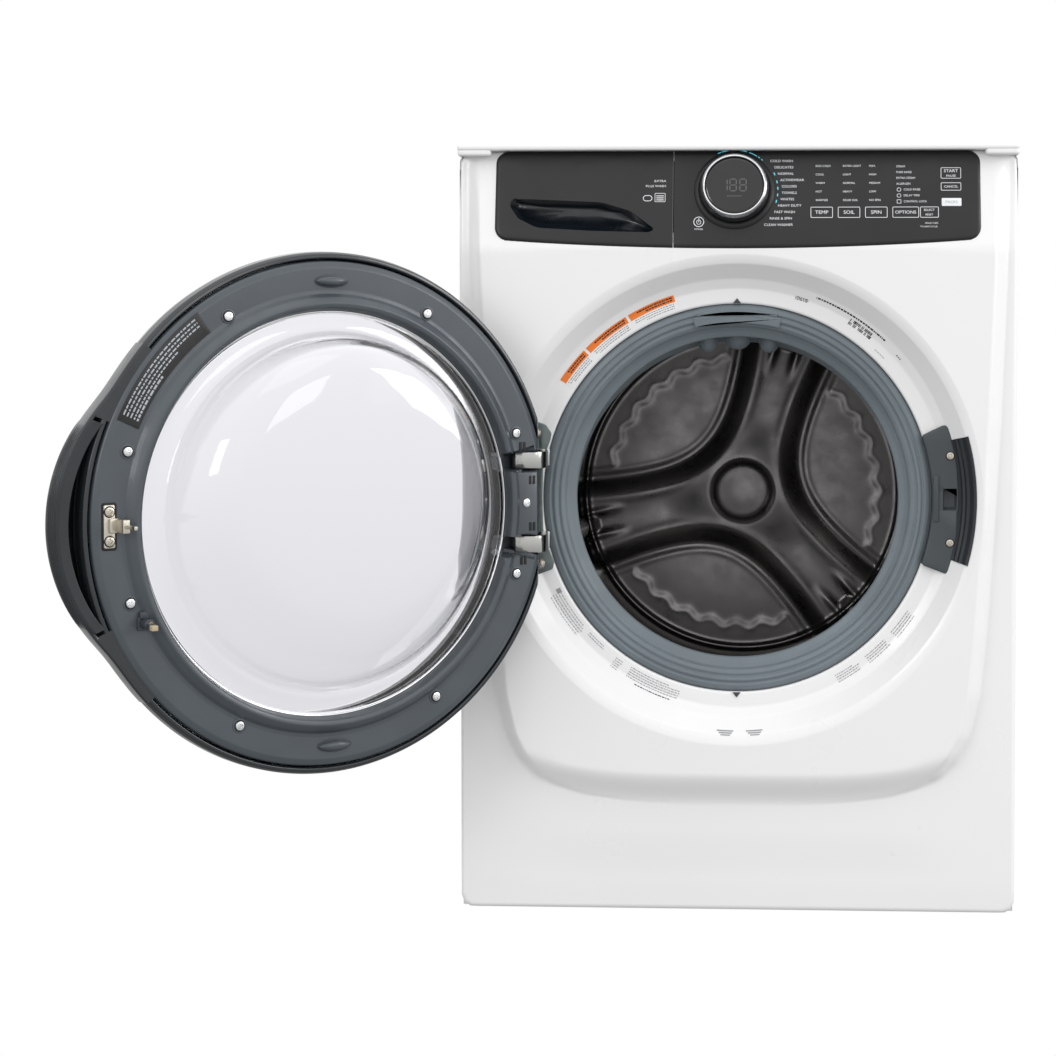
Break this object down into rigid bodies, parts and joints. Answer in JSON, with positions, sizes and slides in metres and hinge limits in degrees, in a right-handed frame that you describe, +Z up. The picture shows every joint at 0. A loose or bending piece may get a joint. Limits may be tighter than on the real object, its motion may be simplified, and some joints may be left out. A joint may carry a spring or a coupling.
{
  "type": "front load washing machine",
  "caption": "White front load washing machine with its round glass door open, dark sloping console, programme dial, detergent drawer and steel drum.",
  "frame": {"origin": "on the floor, at the middle of the four levelling feet", "axes": "X to the right and Y to the back as seen from the front, Z up; the front faces -Y"},
  "size_m": [1.0839, 1.1962, 0.965],
  "materials": {
    "white_enamel": "smooth white baked enamel",
    "zinc_steel": "bare galvanised sheet, faint brushing",
    "drum_steel": "stainless sheet, dark in the drum",
    "spider_alloy": "cast alloy",
    "console_black": "dark metallic coated fascia",
    "display_black": "gloss smoked display",
    "bright_chrome": "bright plated trim",
    "grey_plastic": "slate grey moulding",
    "titanium_plastic": "dark titanium coated door ring",
    "dark_plastic": "dark slate moulding",
    "white_plastic": "natural white moulding",
    "blue_plastic": "blue drawer insert",
    "beige_plastic": "beige plunger tip",
    "gasket_rubber": "matte blue-grey rubber",
    "black_rubber": "black rubber",
    "clear_glass": "clear pressed glass bowl",
    "window_glass": "lightly tinted clear outer door window",
    "concrete": "grey cast concrete",
    "motor_paint": "motor housing",
    "circuit_green": "circuit board"
  },
  "bodies": {
    "cabinet": {"base_pan": "zinc_steel", "leveling_feet": "black_rubber", "foot_lock_nuts": "zinc_steel", "left_side_panel": "white_enamel", "right_side_panel": "white_enamel", "rear_panel": "white_enamel", "rear_access_cover": "white_enamel", "cabinet_screws": "zinc_steel", "transit_plugs": "white_plastic", "top_panel": "white_enamel", "top_brace": "zinc_steel", "front_panel": "white_enamel", "console_carrier": "dark_plastic", "console_fascia": "console_black", "control_board": "circuit_green", "dial_display": "display_black", "dispenser_housing": "white_plastic", "hoses": "black_rubber", "inlet_valves": "dark_plastic", "drain_outlet": "dark_plastic", "cord_gland": "dark_plastic", "gasket": "gasket_rubber", "hinge_bracket": "zinc_steel", "latch_plate": "dark_plastic", "door_lock": "dark_plastic", "damper_cylinders": "dark_plastic", "suspension_springs": "zinc_steel", "pump_housing": "dark_plastic"},
    "door": {"door_outer_ring": "titanium_plastic", "door_window": "window_glass", "door_inner_frame": "grey_plastic", "door_glass_bowl": "clear_glass", "glass_retainer": "bright_chrome", "door_screws": "zinc_steel", "door_strike": "zinc_steel", "hinge_pins": "zinc_steel", "door_bumpers": "grey_plastic", "handle_grip": "dark_plastic"},
    "vent": {"vent_plunger": "beige_plastic"},
    "tub": {"tub_front": "white_plastic", "tub_rear": "white_plastic", "tub_screws": "zinc_steel", "counterweights": "concrete", "bearings": "zinc_steel", "shaft_seal": "black_rubber", "motor": "motor_paint", "damper_rods": "zinc_steel", "drive_belt": "black_rubber", "gasket_clamp": "zinc_steel"},
    "drum": {"drum_shell": "drum_steel", "drum_back": "drum_steel", "spider_shaft": "spider_alloy", "lifters": "drum_steel", "drum_pulley": "zinc_steel"},
    "rotor": {"motor_pulley": "zinc_steel"},
    "dial": {"dial_ring": "bright_chrome"},
    "drawer": {"drawer_front": "console_black", "drawer_tray": "white_plastic", "siphon_insert": "blue_plastic"},
    "impeller": {"pump_impeller": "dark_plastic"}
  },
  "joints": [
    {"name": "door_hinge", "type": "hinge", "parent": "cabinet", "child": "door", "pos_m": [-0.264, -0.424, 0.53], "axis": [0, 0, 1], "range_deg": [0, 142]},
    {"name": "vent_press", "type": "slide", "parent": "door", "child": "vent", "axis": [-0.6157, 0.788, 0], "range_m": [0, 0.006], "stiffness_N_per_m": 150},
    {"name": "tub_bounce", "type": "slide", "parent": "cabinet", "child": "tub", "axis": [0, 0, 1], "range_m": [-0.008, 0.008], "stiffness_N_per_m": 60000, "springref_m": 0.0113, "deforming": ["suspension_springs", "gasket", "hoses"]},
    {"name": "drum_spin", "type": "hinge", "parent": "tub", "child": "drum", "pos_m": [0, -0.33, 0.522], "axis": [0, 0.9986, -0.0523], "continuous": true},
    {"name": "motor_spin", "type": "hinge", "parent": "tub", "child": "rotor", "pos_m": [0, -0.35031, 0.13453], "axis": [0, 0.9986, -0.0523], "continuous": true},
    {"name": "dial_turn", "type": "hinge", "parent": "cabinet", "child": "dial", "pos_m": [-0.003, -0.38213, 0.90887], "axis": [0, -0.972, 0.2351], "continuous": true},
    {"name": "drawer_slide", "type": "slide", "parent": "cabinet", "child": "drawer", "axis": [0, -1, 0], "range_m": [0, 0.17]},
    {"name": "impeller_spin", "type": "hinge", "parent": "cabinet", "child": "impeller", "pos_m": [0.17, -0.25, 0.062], "axis": [0, 1, 0], "continuous": true}
  ],
  "couplings": [
    {"joint": "motor_spin", "follows": "drum_spin", "ratio": 13.636}
  ]
}
